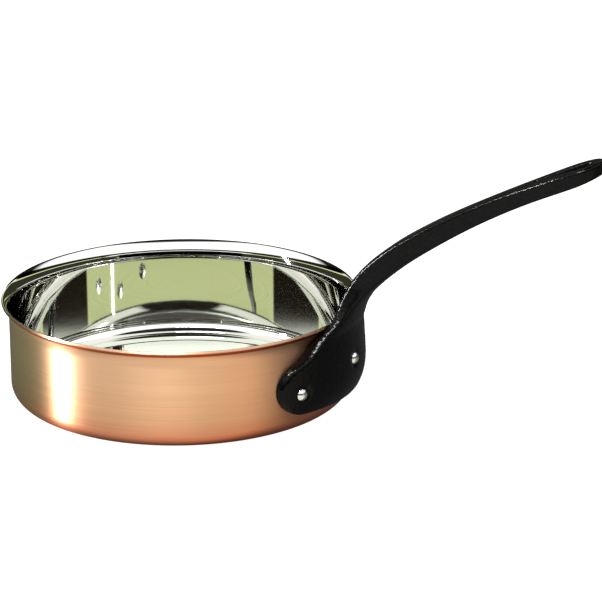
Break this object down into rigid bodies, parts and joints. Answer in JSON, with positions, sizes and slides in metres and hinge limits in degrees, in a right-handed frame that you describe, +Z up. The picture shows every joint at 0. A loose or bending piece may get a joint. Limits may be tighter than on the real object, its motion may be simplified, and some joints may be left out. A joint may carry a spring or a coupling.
{
  "type": "lined copper pan",
  "caption": "Straight-walled copper pan with a steel lining, a flared pouring lip and a long cast-iron handle with a hanging eye.",
  "frame": {"origin": "centre of the round base, on the surface that the pan stands on", "axes": "+Z up along the pan's axis, +X towards the handle's tip"},
  "size_m": [0.3663, 0.2128, 0.1706],
  "materials": {
    "copper": "brushed satin copper",
    "lining_steel": "polished wall, turned floor",
    "cast_iron": "sand cast, black, lightly oiled",
    "rivet_steel": "bright"
  },
  "bodies": {
    "root": {"copper_shell": "copper", "steel_lining": "lining_steel", "handle": "cast_iron", "side_rivets": "rivet_steel", "centre_rivet": "rivet_steel"}
  },
  "joints": []
}
